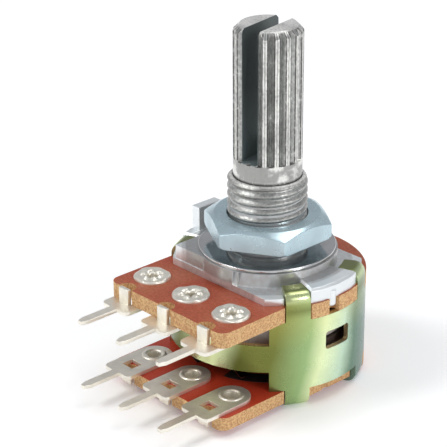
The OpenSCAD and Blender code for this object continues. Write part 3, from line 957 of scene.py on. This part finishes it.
class POT_OT_fasteners(Operator):
    """Builds the nut and the washer"""

    bl_idname = "pot.fasteners"
    bl_label = "Build Nut And Washer"

    def execute(self, context):
        sizes, finish = looks(context)
        for node, name, width in (
            ("hex_nut", "lock_nut", sizes.nut_edge),
            ("flat_washer", "washer", sizes.washer_edge),
        ):
            bm = merged_copy(node)
            round_edges(bm, width, angle=14, segments=3)
            stand_for(finished(bm, name, [finish[SLOTS[node]]], smooth_angle=40), node)
        return {"FINISHED"}


class POT_OT_terminals(Operator):
    """Builds the six terminals with their crimped eyelets"""

    bl_idname = "pot.terminals"
    bl_label = "Build Terminals"

    def execute(self, context):
        sizes, finish = looks(context)
        tin = finish["tinned_terminal"]
        for row in ("front", "rear"):
            for number, side in enumerate(SIDES):
                node = f"{row}_terminal_{side}"
                bm = merged_copy(node)
                round_edges(bm, sizes.metal_edge)
                stand_for(finished(bm, f"{row}_tag_{side}", [tin]), node)
                centre = self.eyelet_centre(node)
                if row == "front":
                    bm, kind = self.crimp(sizes, number), "crimp"
                    centre.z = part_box("front_wafer")[1].z
                else:
                    bm, kind = self.lip(), "lip"
                    centre.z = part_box(node)[1].z
                bmesh.ops.translate(bm, vec=centre, verts=bm.verts)
                ring = finished(bm, f"{row}_{kind}_{side}", [tin], smooth_angle=50)
                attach(ring, "housing")
        return {"FINISHED"}

    def eyelet_centre(self, node):
        """Middle of the terminal's round end."""
        low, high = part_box(node)
        return Vector(((low.x + high.x) / 2, high.y - (high.x - low.x) / 2, 0))

    def turned(self, profile, steps):
        """A closed ring from a profile of radius and height in millimetres."""
        bm = bmesh.new()
        verts = [bm.verts.new((r * MM, 0, z * MM)) for r, z in profile]
        edges = [bm.edges.new(pair) for pair in zip(verts, verts[1:] + verts[:1])]
        spun(bm, verts + edges, steps)
        return bm

    def crimp(self, sizes, number):
        """Flared end of an eyelet, split into petals and pressed down."""
        profile = [
            (1.62, -0.02), (1.64, 0.1), (1.56, 0.22), (1.4, 0.25), (1.24, 0.2), (1.12, 0.24),
            (0.98, 0.36), (0.8, 0.42), (0.62, 0.36), (0.5, 0.2), (0.46, 0.0), (0.45, -0.3),
            (0.5, -0.3), (0.9, -0.02),
        ]
        bm = self.turned(profile, 60)
        petal_r, petal_reach, valley_depth, rim_r, turn_step = 0.82, 0.42, 0.3, 1.0, 0.7
        for vert in bm.verts:
            reach = vert.co.to_2d().length / MM
            turn = math.atan2(vert.co.y, vert.co.x) + turn_step * number
            valley = abs(math.cos(turn * sizes.petal_count / 2)) ** 4
            inside = max(0.0, 1 - abs(reach - petal_r) / petal_reach)
            if vert.co.z > 0.1 * MM:
                vert.co.z -= valley_depth * MM * valley * inside
                wave = 0.05 * math.sin(3 * turn + number) + 0.03 * math.sin(7 * turn)
                vert.co.z += wave * MM * (reach > rim_r)
        bmesh.ops.recalc_face_normals(bm, faces=bm.faces)
        return bm

    def lip(self):
        """Raised collar round the mouth of a rear eyelet."""
        bm = self.turned(
            [
                (1.12, -0.05), (1.1, 0.03), (1.0, 0.1), (0.88, 0.12), (0.76, 0.08), (0.66, -0.02),
                (0.6, -0.16), (0.59, -0.3), (0.64, -0.3), (0.8, -0.05),
            ],
            40,
        )
        bmesh.ops.recalc_face_normals(bm, faces=bm.faces)
        return bm


class POT_OT_shaft(Operator):
    """Builds the fluted shaft"""

    bl_idname = "pot.shaft"
    bl_label = "Build Shaft"

    def execute(self, context):
        sizes, finish = looks(context)
        bm = merged_copy("shaft")
        round_edges(bm, sizes.metal_edge, angle=25)
        stand_for(finished(bm, "fluted_shaft", [finish["shaft_metal"]]), "shaft")
        return {"FINISHED"}


class POT_OT_inside(Operator):
    """Builds the rotors, and finishes the tracks, rings and wipers"""

    bl_idname = "pot.inside"
    bl_label = "Build Inside"

    def execute(self, context):
        sizes, finish = looks(context)
        for node, name in (("front_rotor", "grey_rotor"), ("rear_rotor", "black_rotor")):
            bm = merged_copy(node)
            round_edges(bm, sizes.rotor_edge)
            stand_for(finished(bm, name, [finish[SLOTS[node]]]), node)
        for node in (
            "front_track", "rear_track", "front_collector", "rear_collector",
            "retaining_ring", "front_wiper", "rear_wiper",
        ):
            mesh = frame["nodes"][node].data
            mesh.materials.clear()
            mesh.materials.append(finish[SLOTS[node]])
        return {"FINISHED"}


class POT_PT_sidebar(Panel):
    """Buttons for the pieces, with their sizes and colours"""

    bl_idname = "POT_PT_sidebar"
    bl_label = "Potentiometer"
    bl_space_type = "VIEW_3D"
    bl_region_type = "UI"
    bl_category = "Potentiometer"

    def draw(self, context):
        layout = self.layout
        for operator in OPERATORS:
            layout.operator(operator.bl_idname)
        for group in (context.scene.pot_sizes, context.scene.pot_colours):
            box = layout.box()
            for name in group.bl_rna.properties.keys():
                if name not in ("rna_type", "name"):
                    box.prop(group, name)


OPERATORS = (
    POT_OT_stage,
    POT_OT_housing,
    POT_OT_boards,
    POT_OT_plate,
    POT_OT_fasteners,
    POT_OT_terminals,
    POT_OT_shaft,
    POT_OT_inside,
)
CLASSES = (PotSizes, PotColours, *OPERATORS, POT_PT_sidebar)


def register():
    """Adds the classes and the scene's own sizes and colours."""
    for cls in CLASSES:
        bpy.utils.register_class(cls)
    bpy.types.Scene.pot_sizes = PointerProperty(type=PotSizes)
    bpy.types.Scene.pot_colours = PointerProperty(type=PotColours)


def unregister():
    """Takes out what register added."""
    del bpy.types.Scene.pot_colours
    del bpy.types.Scene.pot_sizes
    for cls in reversed(CLASSES):
        bpy.utils.unregister_class(cls)


def main():
    """Builds the whole scene."""
    register()
    bpy.ops.pot.stage()
    bpy.ops.pot.housing()
    bpy.ops.pot.boards()
    bpy.ops.pot.plate()
    bpy.ops.pot.fasteners()
    bpy.ops.pot.terminals()
    bpy.ops.pot.shaft()
    bpy.ops.pot.inside()


if __name__ == "__main__":
    main()
